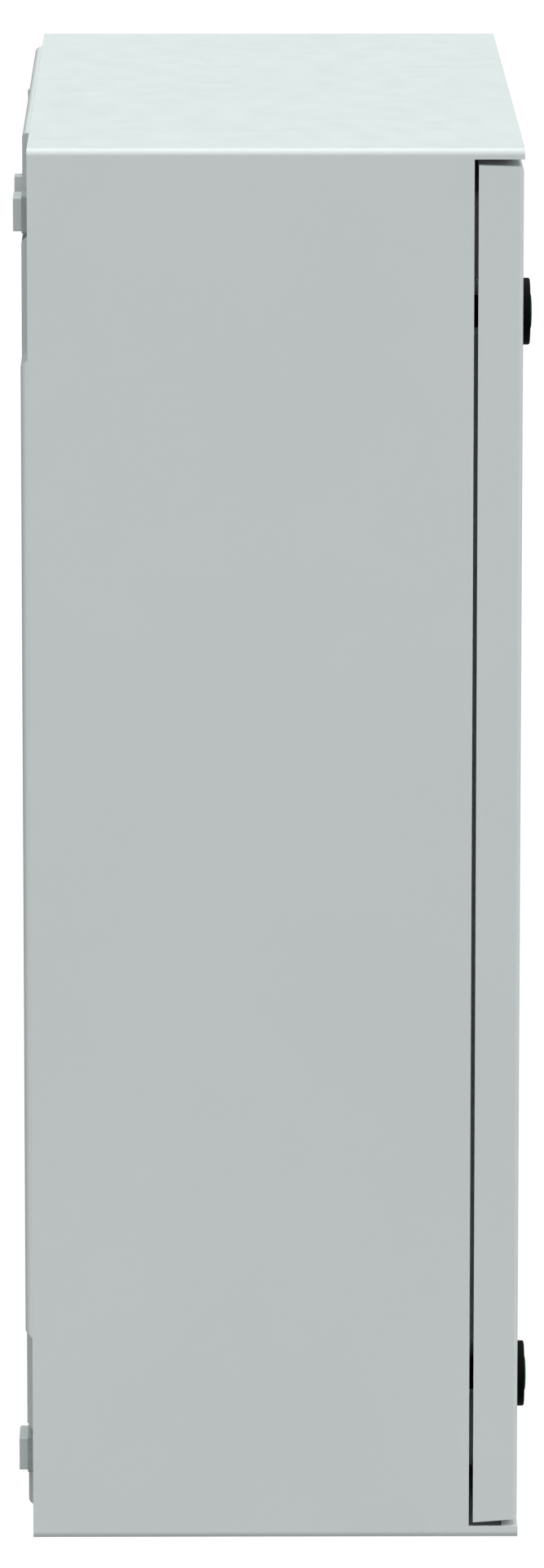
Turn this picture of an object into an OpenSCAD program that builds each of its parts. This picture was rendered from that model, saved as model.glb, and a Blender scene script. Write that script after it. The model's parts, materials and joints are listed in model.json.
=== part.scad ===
// Steel wall enclosure with a hinged door, two quarter-turn locks and an inner mounting plate.
// The wall is the plane y = 0, the door faces -Y, and +Z is up.
// The origin is the centre of the four wall fixing holes, in the wall plane.

/* [Body] */
// Overall width of the enclosure
body_w = 500; // [450:50:700]
// Overall height of the enclosure
body_h = 700; // [600:50:900]
// Depth from the wall to the front edge of the top and bottom lips
body_d = 250; // [200:10:350]
// Thickness of the body and door sheet
sheet_t = 1.5; // [1.2:0.1:2]
// Outside bend radius of the body's long edges
bend_r = 3.4; // [2.5:0.1:5]
// Height of the folded lip above the door
lip_top = 5.3; // [4:0.1:8]
// Height of the folded lip below the door
lip_bot = 6; // [4:0.1:8]
// Distance from the front plane to the front edge of the side sheets
side_front = 24.5; // [24:0.1:27]

/* [Rear] */
// How far the pressed cross stands behind the corner recesses
press_h = 3.4; // [2:0.1:5]
// Height of each corner recess
recess_h = 107; // [80:1:120]
// Width of each corner recess beside the cross
recess_w = 34; // [25:1:40]
// Width of each corner recess next to the top and bottom faces
recess_w2 = 66; // [60:1:80]
// How far the wide part of the recess runs in from the top and bottom faces
recess_h2 = 51; // [51:1:60]
// Outside radius where the cross meets the side faces
rear_r = 2.8; // [2:0.1:4]
// Depth of the wall pads behind the pressed cross
pad_proud = 4.2; // [3:0.1:6]

/* [Wall fixing] */
// Distance from each side face to the fixing holes
fix_in_x = 54; // [50:1:58]
// Distance from the top and bottom faces to the fixing holes
fix_in_z = 35; // [33:1:37]
// Radius of the fixing holes
fix_r = 4.25; // [3:0.25:5]

/* [Door] */
// Distance from the top face to the top edge of the door's front
door_top = 8.8; // [7.5:0.1:10]
// Distance from the bottom face to the bottom edge of the door
door_bot = 9.5; // [9:0.1:12]
// Distance from the front plane to the rear edge of the door's flanges
door_d = 22.4; // [20:0.1:22.5]
// How far the top flange's rear edge reaches above its front
door_splay_top = 0.6; // [0:0.1:1.2]
// How far the bottom flange's rear edge reaches below its front
door_splay_bot = 1.5; // [0:0.1:2]
// Distance of the door's front face behind the front plane of the lips
door_set = 0.45; // [0.2:0.05:1]
// Outside bend radius of the door's front edges
door_r = 2.3;             // [2.3:0.1:3.5]
// Pitch of the holes in the door rails
rail_pitch = 25; // [25:25:50]

/* [Frame and seal] */
// Distance from the side faces to the outer face of the upstand
up_in_x = 36; // [36:0.5:40]
// Distance from the top and bottom faces to the outer face of the upstand
up_in_z = 26.5; // [25:0.5:30]
// Distance from the front plane to the upstand's front edge
up_front = 12; // [12:0.5:14]
// Distance from the front plane to the floor of the gutter
gutter = 32; // [32:0.5:36]
// Width of the foam gasket
gasket_w = 9.5; // [8:0.5:10]

/* [Hinges] */
// Distance from the right face to the hinge axis
hinge_in = 8; // [8:0.1:8.5]
// Distance from the front plane to the hinge axis
hinge_d = 10; // [10:0.1:10.5]
// Height of each hinge above or below the middle
hinge_z = 230; // [180:5:240]
// Outside radius of the hinge knuckles
knuckle_r = 4.5; // [4:0.1:4.6]
// Radius of the hinge pins
pin_r = 2.5; // [2:0.1:2.8]
// Radial clearance between a pin and the door leaf
pin_gap = 0.05; // [0.02:0.01:0.1]

/* [Locks] */
// Distance from the left face to the lock axes
lock_in = 19.5; // [19:0.5:20.5]
// Distance from the top and bottom faces to the lock axes
lock_z_in = 81.3; // [75:0.1:100]
// How far both locks sit below even spacing
lock_drop = 1.2; // [0:0.1:2]
// Radius of the lock's front flange
lock_rim_r = 16.4; // [14:0.1:17]
// Height of the lock's front flange
lock_rim_h = 3.7; // [3.2:0.1:5]
// Radius of the lock barrel
barrel_r = 8.25; // [8.25:0.05:8.4]
// Radius of the turning insert
insert_r = 6; // [5.5:0.1:6]
// Length of the cam from the lock axis
cam_len = 14.2; // [13:0.1:14.4]

/* [Mounting plate] */
// Thickness of the mounting plate
plate_t = 2.5; // [2:0.5:3]
// Gap between the side faces and the mounting plate
plate_in = 30; // [28:1:35]
// Distance from the front plane to the mounting plate's front face, behind which it is held
plate_set = 28; // [24:1:34]

/* [Hidden] */
$fn = 64;

hw = body_w / 2;
hh = body_h / 2;
t = sheet_t;
e = 0.01;
// depth of the pressed cross and of the recess floor, measured from the front plane
cross_d = body_d - pad_proud;
floor_d = cross_d - press_h;
// wall fixing positions
fx = hw - fix_in_x;
fz = hh - fix_in_z;
// gutter and upstand
ux = hw - up_in_x;
uz = hh - up_in_z;
// hinge axis
hx = hw - hinge_in;
// lock positions
lx = -hw + lock_in;
lz = hh - lock_z_in;
lzu = lz - lock_drop;
lzl = -lz - lock_drop;
// mounting plate, front face depth from the front plane
plate_y = body_d - plate_set;
plate_hx = hw - plate_in;
plate_hz = hh - plate_in;
stud_x = plate_hx - 20;
stud_z = plate_hz - 50;
// gland plate opening in the base
gl_w = 320;
gl_d = 120;
gl_y = 120;
// door rails
rail_x = hw - 60;
rail_h = hh - 50;
rail_stud_z = [for (i = [-1.5 : 1 : 1.5]) i * (rail_h - 20) * 2 / 3];

paint = [0.74, 0.755, 0.75];
zinc = [0.72, 0.74, 0.76];
steel = [0.62, 0.63, 0.65];
black = [0.05, 0.05, 0.055];
foam = [0.12, 0.12, 0.12];

// y of a depth measured from the front plane
function yd(d) = d - body_d;

// a box between two x values, two depths and two z values
module bx(x0, x1, d0, d1, z0, z1) {
  translate([x0, yd(d0), z0]) cube([x1 - x0, d1 - d0, z1 - z0]);
}
// a cylinder along Y between two depths
module cy(x, z, d0, d1, r, fn = 64) {
  translate([x, yd(d0), z]) rotate([-90, 0, 0]) cylinder(r = r, h = d1 - d0, $fn = fn);
}
// a cylinder along Z
module cz(x, d, z0, z1, r, fn = 64) {
  translate([x, yd(d), z0]) cylinder(r = r, h = z1 - z0, $fn = fn);
}
// a cylinder along X
module cx(d, z, x0, x1, r, fn = 64) {
  translate([x0, yd(d), z]) rotate([0, 90, 0]) cylinder(r = r, h = x1 - x0, $fn = fn);
}
// a rounded rectangle about the origin
module rrect(a, b, r) {
  square([2 * a - 2 * r, 2 * b], center = true);
  square([2 * a, 2 * b - 2 * r], center = true);
  for (i = [-1, 1]) for (j = [-1, 1]) translate([i * (a - r), j * (b - r)]) circle(r = r, $fn = 48);
}
// a prism with a rounded rectangle seen from the front, between two depths
module fprism(a, b, r, d0, d1) {
  translate([0, yd(d1), 0]) rotate([90, 0, 0]) linear_extrude(height = d1 - d0) rrect(a, b, r);
}
// a rounded rectangle from z0 to z1 seen from the front, between two depths
module fprism_z(a, z0, z1, r, d0, d1) {
  translate([0, 0, (z0 + z1) / 2]) fprism(a, (z1 - z0) / 2, r, d0, d1);
}
// a tray section in plan, closed at the front with two rounded corners, open at the rear
module front_round(a, r, d0, d1) {
  translate([0, (r + d1 - d0) / 2]) square([2 * a, d1 - d0 - r], center = true);
  translate([0, r / 2]) square([2 * (a - r), r], center = true);
  for (i = [-1, 1]) translate([i * (a - r), r]) circle(r = r, $fn = 48);
}
// section of the door in depth and height: rounded front corners and flanges that splay a little; first axis runs forwards, second is Z
module door_section(z0, z1, r, d) {
  ta = door_splay_bot / (door_d - door_set - door_r);
  tb = door_splay_top / (door_d - door_set - door_r);
  al = atan(ta);
  be = atan(tb);
  p0 = [-r + r * sin(al), z0 + r - r * cos(al)];
  p1 = [-r + r * sin(be), z1 - r + r * cos(be)];
  polygon([[0, z0 + r], [0, z1 - r], [-r, z1 - r], p1, [-d, p1[1] + (d + p1[0]) * tb], [-d, p0[1] - (d + p0[0]) * ta], p0, [-r, z0 + r]]);
  translate([-r, z0 + r]) circle(r = r, $fn = 48);
  translate([-r, z1 - r]) circle(r = r, $fn = 48);
}

// ---- body -----------------------------------------------------------------

module body_wrapper() {
  color(paint) difference() {
    union() {
      difference() {
        fprism(hw, hh, bend_r, 0, floor_d - e);
        fprism(hw - t, hh - t, bend_r - t, -1, floor_d + 1);
        // the door fills this part of both sides
        for (s = [-1, 1]) bx(s > 0 ? hw - t - 1 : -hw - 1, s > 0 ? hw + 1 : -hw + t + 1, -1, side_front, -hh + lip_bot, hh - lip_top);
      }
      // folded lip and its return above the door
      bx(-hw + t, hw - t, 0, t, hh - lip_top, hh - t);
      bx(-hw + t, hw - t, 0, 8, hh - lip_top, hh - lip_top + t);
      // folded lip and its return below the door
      bx(-hw + t, hw - t, 0, t, -hh + t, -hh + lip_bot);
      bx(-hw + t, hw - t, 0, 8, -hh + lip_bot - t, -hh + lip_bot);
    }
    // cable entry cut-out in the base
    bx(-gl_w / 2, gl_w / 2, gl_y - gl_d / 2, gl_y + gl_d / 2, -hh - 1, -hh + t + 1);
    for (p = gland_pts()) translate([p[0], yd(p[1]), -hh - 1]) cylinder(r = 3.1, h = t + 2);
  }
}
function gland_pts() = [for (i = [-1, 0, 1]) for (j = [-1, 1]) [i * (gl_w / 2 + (i == 0 ? 0 : 1) * 10 - (i == 0 ? 0 : 0)), gl_y + j * (gl_d / 2 + 10)]];

// the pressed cross: a stack of three bars with 45 degree sides; g shrinks it, d1 is its rear face
module cross_form(g, d1, dfoot) {
  hgt = d1 - dfoot;
  // middle band, full width
  intersection() {
    translate([-hw + g, 0, 0]) rotate([90, 0, 90]) linear_extrude(height = body_w - 2 * g)
      polygon([[yd(dfoot), -(hh - recess_h + hgt - g)], [yd(dfoot), hh - recess_h + hgt - g], [yd(d1), hh - recess_h - g], [yd(d1), -(hh - recess_h - g)]]);
    translate([0, yd(d1), -hh]) mirror([0, 1, 0]) linear_extrude(height = body_h) front_round(hw - g, max(0.5, rear_r - g), 0, hgt);
  }
  // stem between the narrow recesses
  intersection() {
    translate([0, 0, -hh]) linear_extrude(height = body_h)
      polygon([[-(hw - recess_w + hgt - g), yd(dfoot)], [hw - recess_w + hgt - g, yd(dfoot)], [hw - recess_w - g, yd(d1)], [-(hw - recess_w - g), yd(d1)]]);
    translate([-hw, 0, 0]) rotate([90, 0, 90]) linear_extrude(height = body_w)
      polygon([[yd(dfoot), -(hh - recess_h2 + hgt - g)], [yd(dfoot), hh - recess_h2 + hgt - g], [yd(d1), hh - recess_h2 - g], [yd(d1), -(hh - recess_h2 - g)]]);
  }
  // stem between the wide recesses, up to the top and bottom faces
  intersection() {
    translate([0, 0, -hh]) linear_extrude(height = body_h)
      polygon([[-(hw - recess_w2 + hgt - g), yd(dfoot)], [hw - recess_w2 + hgt - g, yd(dfoot)], [hw - recess_w2 - g, yd(d1)], [-(hw - recess_w2 - g), yd(d1)]]);
    translate([-hw, yd(d1), 0]) mirror([0, 1, 0]) rotate([90, 0, 90]) linear_extrude(height = body_w) rear_x(hh - g, max(0.5, rear_r - g), hgt);
  }
}
// section with rounded corners on the first axis, second axis Z
module rear_x(b, r, d) {
  rr = min(r, d - 0.1);
  translate([rr, -b]) square([d - rr, 2 * b]);
  translate([0, -b + rr]) square([rr + e, 2 * (b - rr)]);
  for (j = [-1, 1]) translate([rr, j * (b - rr)]) circle(r = rr, $fn = 48);
}

module rear_panel() {
  color(paint) difference() {
    union() {
      // flat sheet let in between the wrapper's walls
      fprism(hw - t, hh - t, bend_r - t, floor_d - t, floor_d);
      cross_form(0, cross_d, floor_d - e);
    }
    // the pressing is hollow on the inside
    cross_form(t * 0.9, cross_d - t, floor_d - t - 1);
    for (i = [-1, 1]) for (j = [-1, 1]) cy(i * fx, j * fz, floor_d - t - 1, cross_d + 1, fix_r);
  }
}

module front_channel() {
  color(paint) {
    difference() {
      fprism(hw - t, hh - t, bend_r - t, gutter, gutter + t);
      fprism(ux - t, uz - t, 5, gutter - 1, gutter + t + 1);
      for (z = [-hinge_z, hinge_z]) for (k = [-18, 18]) cy(hx - 13, z + k, gutter - 1, gutter + t + 1, 2.6);
    }
    difference() {
      fprism(ux, uz, 6.5, up_front, gutter + e);
      fprism(ux - t, uz - t, 5, up_front - 1, gutter + t);
    }
  }
}

// outline of the pad in one recess, with small chamfers at its outer corners; m widens it
module pad_outline(i, j, m) {
  polygon([[i * (hw - 42 + m), j * fz + 5.2 + m], [i * (hw - 42 + m), j * fz - 10.2 - m], [i * (hw - 42.8 + m), j * fz - 11 - m],
           [i * (hw - 66 + press_h), j * fz - 11 - m], [i * (hw - 66 + press_h), j * fz + 6 + m], [i * (hw - 42.8 + m), j * fz + 6 + m]]);
}
module wall_pads() {
  color([0.5, 0.53, 0.52]) for (i = [-1, 1]) for (j = [-1, 1]) {
    difference() {
      // block over the recess, level with the pressed cross at its foot; it reaches further below its hole than above
      translate([0, yd(body_d), 0]) rotate([90, 0, 0]) linear_extrude(height = pad_proud) pad_outline(i, j, 0);
      cy(i * fx, j * fz, floor_d - 1, body_d + 1, fix_r);
    }
    // block on the pressed cross
    translate([0, yd(body_d - 0.2), 0]) rotate([90, 0, 0])
      linear_extrude(height = pad_proud - 0.2)
        polygon([[i * (hw - 70), j * (hh - 22.6)], [i * (hw - 70), j * (hh - 37.2)], [i * (hw - 70.8), j * (hh - 38)],
                 [i * (hw - 76), j * (hh - 38)], [i * (hw - 76), j * (hh - 21.8)], [i * (hw - 70.8), j * (hh - 21.8)]]);
  }
}
// a sealing block under each pad fills the recess round the fixing hole
module wall_pad_seals() {
  color([0.35, 0.37, 0.36]) for (i = [-1, 1]) for (j = [-1, 1]) difference() {
    translate([0, yd(cross_d), 0]) rotate([90, 0, 0]) linear_extrude(height = press_h) pad_outline(i, j, 1);
    cy(i * fx, j * fz, floor_d - 1, body_d + 1, fix_r);
  }
}

// ---- mounting plate --------------------------------------------------------

module mounting_plate() {
  color(zinc) difference() {
    bx(-plate_hx, plate_hx, plate_y, plate_y + plate_t, -plate_hz, plate_hz);
    // corners left open so the wall fixings can be reached
    for (i = [-1, 1]) for (j = [-1, 1]) {
      bx(i > 0 ? fx - 21 : -plate_hx - 1, i > 0 ? plate_hx + 1 : -fx + 21, plate_y - 1, plate_y + plate_t + 1,
         j > 0 ? fz - 20 : -plate_hz - 1, j > 0 ? plate_hz + 1 : -fz + 20);
      cy(i * stud_x, j * stud_z, plate_y - 1, plate_y + plate_t + 1, 4.4);
    }
  }
}
module at_studs() { for (i = [-1, 1]) for (j = [-1, 1]) translate([i * stud_x, 0, j * stud_z]) children(); }
module mounting_plate_studs() {
  color(steel) at_studs() { cy(0, 0, plate_y - 10, cross_d - t, 4); }
}
module mounting_plate_spacers() {
  color(zinc) at_studs() difference() {
    cy(0, 0, plate_y + plate_t, cross_d - t, 8);
    cy(0, 0, plate_y + plate_t - 1, cross_d, 4.1);
  }
}
module mounting_plate_washers() {
  color(zinc) at_studs() difference() {
    cy(0, 0, plate_y - 1.6, plate_y, 8);
    cy(0, 0, plate_y - 3, plate_y + 1, 4.1);
  }
}
module mounting_plate_nuts() {
  color(zinc) at_studs() difference() {
    cy(0, 0, plate_y - 1.6 - 6.5, plate_y - 1.6, 7.5, 6);
    cy(0, 0, plate_y - 10, plate_y + 1, 4.05);
  }
}

// ---- gland plate in the base ----------------------------------------------

module gland_holes(z0, z1, r) { for (p = gland_pts()) translate([p[0], yd(p[1]), z0]) cylinder(r = r, h = z1 - z0); }
module gland_plate() {
  color(paint) difference() {
    bx(-gl_w / 2 - 20, gl_w / 2 + 20, gl_y - gl_d / 2 - 20, gl_y + gl_d / 2 + 20, -hh + t + 2, -hh + t + 4);
    gland_holes(-hh, -hh + 20, 3.2);
  }
}
module gland_plate_gasket() {
  color(foam) difference() {
    bx(-gl_w / 2 - 20, gl_w / 2 + 20, gl_y - gl_d / 2 - 20, gl_y + gl_d / 2 + 20, -hh + t, -hh + t + 2);
    bx(-gl_w / 2, gl_w / 2, gl_y - gl_d / 2, gl_y + gl_d / 2, -hh, -hh + t + 5);
    gland_holes(-hh, -hh + 20, 3.2);
  }
}
module gland_plate_screws() {
  color(steel) for (p = gland_pts()) translate([p[0], yd(p[1]), -hh]) {
    translate([0, 0, 0.1]) cylinder(r = 3, h = t + 4);
    difference() {
      translate([0, 0, t + 4]) cylinder(r = 5.5, h = 3.5);
      translate([0, 0, t + 5.5]) cylinder(r = 2.6, h = 3, $fn = 6);
    }
  }
}

// ---- hinges ----------------------------------------------------------------

module hinge_bracket(z) {
  color(zinc) translate([0, 0, z]) difference() {
    union() {
      for (s = [-1, 1]) {
        cz(hx, hinge_d, s > 0 ? 10 : -28, s > 0 ? 28 : -10, knuckle_r);
        bx(hx - 4, hx - 1, hinge_d, gutter, s > 0 ? 10 : -28, s > 0 ? 28 : -10);
      }
      bx(hx - 22, hx - 1, gutter - 3, gutter, -28, 28);
    }
    cz(hx, hinge_d, -40, 40, pin_r);
    for (k = [-18, 18]) cy(hx - 13, k, gutter - 5, gutter + 1, 2.6);
  }
}
module hinge_bracket_upper() { hinge_bracket(hinge_z); }
module hinge_bracket_lower() { hinge_bracket(-hinge_z); }
module hinge_pin(z) {
  color(steel) translate([0, 0, z]) {
    cz(hx, hinge_d, -29.5, 28, pin_r);
    cz(hx, hinge_d, 28, 30, knuckle_r - 0.8);
  }
}
module hinge_pin_upper() { hinge_pin(hinge_z); }
module hinge_pin_lower() { hinge_pin(-hinge_z); }
module hinge_bracket_screws() {
  color(steel) for (z = [-hinge_z, hinge_z]) for (k = [-18, 18]) {
    cy(hx - 13, z + k, gutter - 3, gutter + 6, 2.5);
    difference() {
      cy(hx - 13, z + k, gutter - 6, gutter - 3, 4.4);
      cy(hx - 13, z + k, gutter - 7, gutter - 4.2, 2.2, 6);
    }
  }
}
module hinge_leaf(z) {
  color(zinc) translate([0, 0, z]) difference() {
    union() {
      cz(hx, hinge_d, -9.7, 9.7, knuckle_r);
      bx(hx - knuckle_r, hx + 1, door_set + t + 1, hinge_d, -9.7, 9.7);
      bx(hx - 22, hx + 3.5, door_set + t, door_set + t + 2.5, -28, 28);
    }
    cz(hx, hinge_d, -40, 40, pin_r + pin_gap);
    for (k = [-18, 18]) cy(hx - 13, k, 0, 8, 2.6);
  }
}
module hinge_leaf_upper() { hinge_leaf(hinge_z); }
module hinge_leaf_lower() { hinge_leaf(-hinge_z); }
module hinge_leaf_studs() {
  color(steel) for (z = [-hinge_z, hinge_z]) for (k = [-18, 18]) cy(hx - 13, z + k, door_set + t, door_set + t + 8, 2.5);
}
module hinge_leaf_nuts() {
  color(zinc) for (z = [-hinge_z, hinge_z]) for (k = [-18, 18]) difference() {
    cy(hx - 13, z + k, door_set + t + 2.5, door_set + t + 6.5, 4.6, 6);
    cy(hx - 13, z + k, 0, 20, 2.55);
  }
}

// ---- latch keepers and earth point in the body ------------------------------

module latch_keeper(z) {
  color(zinc) translate([0, 0, z]) {
    bx(-ux - t, -ux, side_front - 8, gutter, -14, 14);
    bx(-ux - t - 5.5, -ux - t, side_front - 1.7, side_front + 0.3, -14, 14);
  }
}
module latch_keeper_upper() { latch_keeper(lzu); }
module latch_keeper_lower() { latch_keeper(lzl); }
module body_earth_stud() { color(steel) cx(150, -hh + 50, -hw + t, -hw + t + 22, 4); }
module body_earth_nut() {
  color(zinc) difference() {
    union() {
      cx(150, -hh + 50, -hw + t, -hw + t + 1.6, 8);
      cx(150, -hh + 50, -hw + t + 1.6, -hw + t + 8.1, 7.5, 6);
    }
    cx(150, -hh + 50, -hw, -hw + t + 20, 4.05);
  }
}

// ---- door ------------------------------------------------------------------

dz0 = -hh + door_bot;
dz1 = hh - door_top;

module door_solid(g, d1) {
  d0 = door_set + g;
  z0 = dz0 + g;
  z1 = dz1 - g;
  intersection() {
    translate([0, yd(d0), z0 - 5]) linear_extrude(height = z1 - z0 + 10) front_round(hw - g, door_r - g, d0, d1);
    translate([hw - g, yd(d0), 0]) rotate([90, 0, -90]) linear_extrude(height = body_w - 2 * g) door_section(z0, z1, door_r - g, d1 - d0);
  }
}
module door_panel() {
  color(paint) difference() {
    door_solid(0, door_d);
    door_solid(t, door_d + 2);
    // slots in the flange round the hinges
    for (z = [-hinge_z, hinge_z]) bx(hw - t - 1, hw + 1, door_set + t + 3, door_d + 1, z - 32, z + 32);
    for (z = [lzl, lzu]) cy(lx, z, -1, 5, barrel_r + 0.25);
  }
}
module door_gasket() {
  cxm = ux - t / 2;
  czm = uz - t / 2;
  g = gasket_w / 2;
  color(foam) difference() {
    fprism(cxm + g, czm + g, 8, door_set + t, up_front - 0.3);
    fprism(cxm - g, czm - g, 3, door_set + t - 1, up_front + 1);
  }
}
module door_rail(s) {
  color(zinc) difference() {
    bx(s * rail_x - 7.5, s * rail_x + 7.5, door_set + t, door_set + t + 19, -rail_h, rail_h);
    bx(s * rail_x - 6, s * rail_x + 6, door_set + t - 1, door_set + t + 17.5, -rail_h - 1, rail_h + 1);
    for (z = rail_stud_z) cy(s * rail_x, z, door_set + t + 10, door_set + t + 22, 2.65);
    for (z = [-rail_h + 12.5 : rail_pitch : rail_h - 10])
      if (min([for (q = rail_stud_z) abs(q - z)]) > 7) cy(s * rail_x, z, door_set + t + 10, door_set + t + 22, 2.25, 24);
  }
}
module door_rail_left() { door_rail(-1); }
module door_rail_right() { door_rail(1); }
module door_rail_studs() {
  color(steel) for (s = [-1, 1]) for (z = rail_stud_z) cy(s * rail_x, z, door_set + t, door_set + t + 25, 2.5);
}
module door_rail_nuts() {
  color(zinc) for (s = [-1, 1]) for (z = rail_stud_z) difference() {
    cy(s * rail_x, z, door_set + t + 19, door_set + t + 23, 4.6, 6);
    cy(s * rail_x, z, door_set + t, door_set + t + 30, 2.55);
  }
}
module door_earth_stud() { color(steel) cy(rail_x - 40, -hh + 60, door_set + t, door_set + t + 20, 4); }
module door_earth_nut() {
  color(zinc) difference() {
    union() {
      cy(rail_x - 40, -hh + 60, door_set + t, door_set + t + 1.6, 8);
      cy(rail_x - 40, -hh + 60, door_set + t + 1.6, door_set + t + 8.1, 7.5, 6);
    }
    cy(rail_x - 40, -hh + 60, 0, door_set + t + 20, 4.05);
  }
}

// ---- locks -----------------------------------------------------------------

barrel_end = side_front + 0.5;
module lock_housing(z) {
  color(black) difference() {
    union() {
      // flange with a small chamfer round its front edge
      translate([lx, yd(door_set), z]) rotate([90, 0, 0]) rotate_extrude($fn = 96)
        polygon([[0, 0], [lock_rim_r, 0], [lock_rim_r, lock_rim_h - 1.1], [lock_rim_r - 0.35, lock_rim_h - 0.35], [lock_rim_r - 1.1, lock_rim_h], [0, lock_rim_h]]);
      cy(lx, z, door_set - e, barrel_end, barrel_r);
    }
    cy(lx, z, door_set - lock_rim_h - 1, barrel_end + 1, insert_r + 0.05);
    cy(lx, z, door_set - lock_rim_h - 1, door_set - lock_rim_h + 1.8, 9.05);
    // groove for the seal
    difference() {
      cy(lx, z, door_set - 1, door_set + e / 2, 14);
      cy(lx, z, door_set - 2, door_set + 1, 9.2);
    }
  }
}
module lock_housing_upper() { lock_housing(lzu); }
module lock_housing_lower() { lock_housing(lzl); }
module lock_seals() {
  color(foam) for (z = [lzl, lzu]) difference() {
    cy(lx, z, door_set - 1, door_set, 13.9);
    cy(lx, z, door_set - 2, door_set + 1, 9.3);
  }
}
module lock_nuts() {
  color(zinc) for (z = [lzl, lzu]) difference() {
    cy(lx, z, door_set + t, door_set + t + 5, 11.5, 6);
    cy(lx, z, door_set, door_set + 10, barrel_r + 0.02);
  }
}
module lock_insert(z) {
  f = door_set - lock_rim_h;
  color([0.06, 0.12, 0.09]) difference() {
    union() {
      translate([lx, yd(f + 1.7), z]) rotate([90, 0, 0]) rotate_extrude($fn = 64)
        polygon([[0, 0], [8.8, 0], [8.8, 2], [8.5, 2.3], [7, 2.5], [4.5, 2.65], [0, 2.7]]);
      cy(lx, z, f + 1.7 - e, barrel_end + 0.3, insert_r);
      bx(lx - 3.5, lx + 3.5, barrel_end, barrel_end + 2.8, z - 3.5, z + 3.5);
    }
    // double-bit key socket with its centre pin
    difference() {
      union() {
        cy(lx, z, f - 2, f + 8, 3.4);
        bx(lx - 1.3, lx + 1.3, f - 2, f + 8, z - 5.4, z + 5.4);
      }
      cy(lx, z, f - 0.7, f + 9, 1.5);
    }
    cy(lx, z, barrel_end - 8, barrel_end + 5, 2.5);
  }
}
module lock_insert_upper() { lock_insert(lzu); }
module lock_insert_lower() { lock_insert(lzl); }
module lock_cam(z) {
  u = z > 0 ? 1 : -1;
  color(zinc) difference() {
    intersection() {
      union() {
        bx(lx - 7, lx + 7, barrel_end + 0.3, barrel_end + 2.8, min(z, z + u * 20), max(z, z + u * 20));
        cy(lx, z, barrel_end + 0.3, barrel_end + 2.8, 8);
      }
      cy(lx, z, barrel_end, barrel_end + 5, cam_len);
    }
    bx(lx - 3.5, lx + 3.5, barrel_end, barrel_end + 5, z - 3.5, z + 3.5);
  }
}
module lock_cam_upper() { lock_cam(lzu); }
module lock_cam_lower() { lock_cam(lzl); }
module lock_cam_screw(z) {
  color(steel) difference() {
    union() {
      cy(lx, z, barrel_end + 2.8, barrel_end + 5.8, 5, 6);
      cy(lx, z, barrel_end - 7, barrel_end + 3, 2.45);
    }
    cy(lx, z, barrel_end + 5.2, barrel_end + 7, 3);
  }
}
module lock_cam_screw_upper() { lock_cam_screw(lzu); }
module lock_cam_screw_lower() { lock_cam_screw(lzl); }

body_wrapper();
rear_panel();
front_channel();
wall_pads();
wall_pad_seals();
mounting_plate();
mounting_plate_studs();
mounting_plate_spacers();
mounting_plate_washers();
mounting_plate_nuts();
gland_plate();
gland_plate_gasket();
gland_plate_screws();
hinge_bracket_upper();
hinge_bracket_lower();
hinge_pin_upper();
hinge_pin_lower();
hinge_bracket_screws();
latch_keeper_upper();
latch_keeper_lower();
body_earth_stud();
body_earth_nut();
door_panel();
door_gasket();
door_rail_left();
door_rail_right();
door_rail_studs();
door_rail_nuts();
hinge_leaf_upper();
hinge_leaf_lower();
hinge_leaf_studs();
hinge_leaf_nuts();
lock_housing_upper();
lock_housing_lower();
lock_nuts();
lock_seals();
door_earth_stud();
door_earth_nut();
lock_insert_upper();
lock_insert_lower();
lock_cam_upper();
lock_cam_lower();
lock_cam_screw_upper();
lock_cam_screw_lower();
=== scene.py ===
import json
import math

import bmesh
import bpy
from mathutils import Matrix, Vector


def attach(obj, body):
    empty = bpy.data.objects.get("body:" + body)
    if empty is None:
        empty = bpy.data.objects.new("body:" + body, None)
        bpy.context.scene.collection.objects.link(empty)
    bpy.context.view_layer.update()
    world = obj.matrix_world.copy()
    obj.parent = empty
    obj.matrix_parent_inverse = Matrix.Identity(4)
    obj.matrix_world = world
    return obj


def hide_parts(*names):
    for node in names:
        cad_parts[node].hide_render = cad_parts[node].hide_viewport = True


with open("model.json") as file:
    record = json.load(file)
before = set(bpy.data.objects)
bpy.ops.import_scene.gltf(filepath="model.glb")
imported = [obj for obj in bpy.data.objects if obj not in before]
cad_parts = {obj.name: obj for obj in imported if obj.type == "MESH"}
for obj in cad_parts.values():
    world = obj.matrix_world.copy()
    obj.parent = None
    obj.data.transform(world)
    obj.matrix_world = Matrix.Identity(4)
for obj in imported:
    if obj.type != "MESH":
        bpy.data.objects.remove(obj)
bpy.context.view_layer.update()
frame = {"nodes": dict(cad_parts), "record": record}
NODES = frame["nodes"]
scene = bpy.context.scene
MM = 0.001

# ---------------------------------------------------------------------------
# camera at the photograph's angle: it looks along +X at the left side, a little from above
# ---------------------------------------------------------------------------


def look(loc, az, el, roll):
    fw = Vector((math.cos(el) * math.cos(az), math.cos(el) * math.sin(az), -math.sin(el)))
    r = fw.cross(Vector((0, 0, 1))).normalized()
    u = r.cross(fw)
    r2 = r * math.cos(roll) + u * math.sin(roll)
    u2 = -r * math.sin(roll) + u * math.cos(roll)
    m = Matrix(((r2.x, u2.x, -fw.x, loc[0]), (r2.y, u2.y, -fw.y, loc[1]), (r2.z, u2.z, -fw.z, loc[2]), (0, 0, 0, 1)))
    return m


cam_data = bpy.data.cameras.new("camera")
cam = bpy.data.objects.new("camera", cam_data)
scene.collection.objects.link(cam)
scene.camera = cam
cam_data.sensor_width = 36
cam_data.sensor_fit = "AUTO"
cam_data.lens = 36 * 11170.93 / 1924
cam_data.clip_start = 0.1
cam_data.clip_end = 200
cam.matrix_world = look((-4.65261, -0.09455, 0.90460), -0.007368, 0.194953, 0.000189)

# ---------------------------------------------------------------------------
# materials
# ---------------------------------------------------------------------------


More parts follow.
